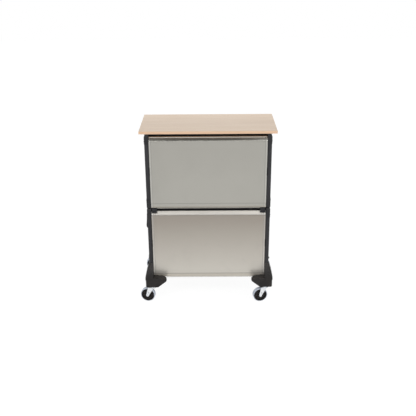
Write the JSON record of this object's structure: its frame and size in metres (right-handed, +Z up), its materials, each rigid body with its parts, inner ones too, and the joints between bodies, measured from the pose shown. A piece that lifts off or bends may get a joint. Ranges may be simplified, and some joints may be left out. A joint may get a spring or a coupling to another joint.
{
  "type": "tool cart",
  "caption": "Mobile tool cart: stacked drawer modules in black corner post frames, pressed sheet fronts, a light wooden worktop, moulded feet and swivel casters.",
  "frame": {"origin": "on the floor, under the middle of the cart's frame", "axes": "+Z up, +Y out of the drawer fronts, -Y out of the closed rear side, +X to the right of someone who faces the closed rear side"},
  "size_m": [0.7063, 0.4076, 0.9155],
  "materials": {
    "worktop": "satin light beech",
    "frame": "black anodised satin",
    "corner_plastic": "black moulded",
    "panel": "warm light grey satin powder coat",
    "floor_sheet": "light grey satin",
    "tray": "light grey satin",
    "slide": "zinc plated",
    "clip": "dark grey moulded",
    "catch": "black moulded",
    "foot_plastic": "brownish black grained",
    "zinc": "bright zinc plated",
    "wheel_plastic": "black moulded",
    "tyre": "pale bluish grey, smooth",
    "pedal_plastic": "black moulded"
  },
  "bodies": {
    "carcass": {"worktop": "worktop", "kick_strip": "panel", "module_clips": "clip", "panel_catches": "catch", "slide_outer_rails": "slide", "caster_races": "zinc", "caster_kingpins": "zinc", "lower_posts": "frame", "lower_corner_blocks": "corner_plastic", "lower_side_rails": "frame", "lower_cross_rails": "frame", "lower_side_walls": "panel", "lower_floor": "floor_sheet", "lower_rear_panel": "panel", "upper_posts": "frame", "upper_corner_blocks": "corner_plastic", "upper_side_rails": "frame", "upper_cross_rails": "frame", "upper_side_walls": "panel", "upper_floor": "floor_sheet", "upper_rear_panel": "panel", "rear_left_foot": "foot_plastic", "rear_right_foot": "foot_plastic", "front_left_foot": "foot_plastic", "front_right_foot": "foot_plastic"},
    "lower_bottom_drawer": {"lower_bottom_tray": "tray", "lower_bottom_front": "panel", "lower_bottom_inner_rails": "slide"},
    "lower_bottom_middle_slides": {"lower_bottom_middle_rails": "slide"},
    "lower_top_drawer": {"lower_top_tray": "tray", "lower_top_front": "panel", "lower_top_inner_rails": "slide"},
    "lower_top_middle_slides": {"lower_top_middle_rails": "slide"},
    "upper_bottom_drawer": {"upper_bottom_tray": "tray", "upper_bottom_front": "panel", "upper_bottom_inner_rails": "slide"},
    "upper_bottom_middle_slides": {"upper_bottom_middle_rails": "slide"},
    "upper_top_drawer": {"upper_top_tray": "tray", "upper_top_front": "panel", "upper_top_inner_rails": "slide"},
    "upper_top_middle_slides": {"upper_top_middle_rails": "slide"},
    "rear_left_fork_body": {"rear_left_fork": "zinc", "rear_left_axle": "zinc"},
    "rear_left_wheel": {"rear_left_wheel_core": "wheel_plastic", "rear_left_tyre": "tyre"},
    "rear_right_fork_body": {"rear_right_fork": "zinc", "rear_right_axle": "zinc"},
    "rear_right_wheel": {"rear_right_wheel_core": "wheel_plastic", "rear_right_tyre": "tyre"},
    "front_left_fork_body": {"front_left_fork": "zinc", "front_left_axle": "zinc"},
    "front_left_wheel": {"front_left_wheel_core": "wheel_plastic", "front_left_tyre": "tyre"},
    "front_left_pedal": {"front_left_brake_pedal": "pedal_plastic"},
    "front_right_fork_body": {"front_right_fork": "zinc", "front_right_axle": "zinc"},
    "front_right_wheel": {"front_right_wheel_core": "wheel_plastic", "front_right_tyre": "tyre"},
    "front_right_pedal": {"front_right_brake_pedal": "pedal_plastic"}
  },
  "joints": [
    {"name": "lower_bottom_drawer_slide", "type": "slide", "parent": "carcass", "child": "lower_bottom_drawer", "axis": [0, 1, 0], "range_m": [0, 0.23]},
    {"name": "lower_bottom_middle_slide", "type": "slide", "parent": "carcass", "child": "lower_bottom_middle_slides", "axis": [0, 1, 0], "range_m": [0, 0.115]},
    {"name": "lower_top_drawer_slide", "type": "slide", "parent": "carcass", "child": "lower_top_drawer", "axis": [0, 1, 0], "range_m": [0, 0.23]},
    {"name": "lower_top_middle_slide", "type": "slide", "parent": "carcass", "child": "lower_top_middle_slides", "axis": [0, 1, 0], "range_m": [0, 0.115]},
    {"name": "upper_bottom_drawer_slide", "type": "slide", "parent": "carcass", "child": "upper_bottom_drawer", "axis": [0, 1, 0], "range_m": [0, 0.23]},
    {"name": "upper_bottom_middle_slide", "type": "slide", "parent": "carcass", "child": "upper_bottom_middle_slides", "axis": [0, 1, 0], "range_m": [0, 0.115]},
    {"name": "upper_top_drawer_slide", "type": "slide", "parent": "carcass", "child": "upper_top_drawer", "axis": [0, 1, 0], "range_m": [0, 0.23]},
    {"name": "upper_top_middle_slide", "type": "slide", "parent": "carcass", "child": "upper_top_middle_slides", "axis": [0, 1, 0], "range_m": [0, 0.115]},
    {"name": "rear_left_swivel", "type": "hinge", "parent": "carcass", "child": "rear_left_fork_body", "pos_m": [-0.2935, -0.181, 0.0823], "axis": [0, 0, 1], "continuous": true},
    {"name": "rear_left_wheel_spin", "type": "hinge", "parent": "rear_left_fork_body", "child": "rear_left_wheel", "pos_m": [-0.32024, -0.17724, 0.0375], "axis": [0.1392, 0.9903, 0], "continuous": true},
    {"name": "rear_right_swivel", "type": "hinge", "parent": "carcass", "child": "rear_right_fork_body", "pos_m": [0.2935, -0.181, 0.0823], "axis": [0, 0, 1], "continuous": true},
    {"name": "rear_right_wheel_spin", "type": "hinge", "parent": "rear_right_fork_body", "child": "rear_right_wheel", "pos_m": [0.26691, -0.18569, 0.0375], "axis": [-0.1736, 0.9848, 0], "continuous": true},
    {"name": "front_left_swivel", "type": "hinge", "parent": "carcass", "child": "front_left_fork_body", "pos_m": [-0.2935, 0.181, 0.0823], "axis": [0, 0, 1], "continuous": true},
    {"name": "front_left_wheel_spin", "type": "hinge", "parent": "front_left_fork_body", "child": "front_left_wheel", "pos_m": [-0.32043, 0.17912, 0.0375], "axis": [-0.0698, 0.9976, 0], "continuous": true},
    {"name": "front_left_brake_swing", "type": "hinge", "parent": "front_left_fork_body", "child": "front_left_pedal", "pos_m": [-0.31445, 0.17954, 0.051], "axis": [0.0698, -0.9976, 0], "range_deg": [0, 10]},
    {"name": "front_right_swivel", "type": "hinge", "parent": "carcass", "child": "front_right_fork_body", "pos_m": [0.2935, 0.181, 0.0823], "axis": [0, 0, 1], "continuous": true},
    {"name": "front_right_wheel_spin", "type": "hinge", "parent": "front_right_fork_body", "child": "front_right_wheel", "pos_m": [0.31356, 0.16293, 0.0375], "axis": [-0.6691, -0.7431, 0], "continuous": true},
    {"name": "front_right_brake_swing", "type": "hinge", "parent": "front_right_fork_body", "child": "front_right_pedal", "pos_m": [0.30911, 0.16695, 0.051], "axis": [0.6691, 0.7431, 0], "range_deg": [0, 10]}
  ],
  "couplings": [
    {"joint": "lower_bottom_middle_slide", "follows": "lower_bottom_drawer_slide", "ratio": 0.5},
    {"joint": "lower_top_middle_slide", "follows": "lower_top_drawer_slide", "ratio": 0.5},
    {"joint": "upper_bottom_middle_slide", "follows": "upper_bottom_drawer_slide", "ratio": 0.5},
    {"joint": "upper_top_middle_slide", "follows": "upper_top_drawer_slide", "ratio": 0.5}
  ]
}
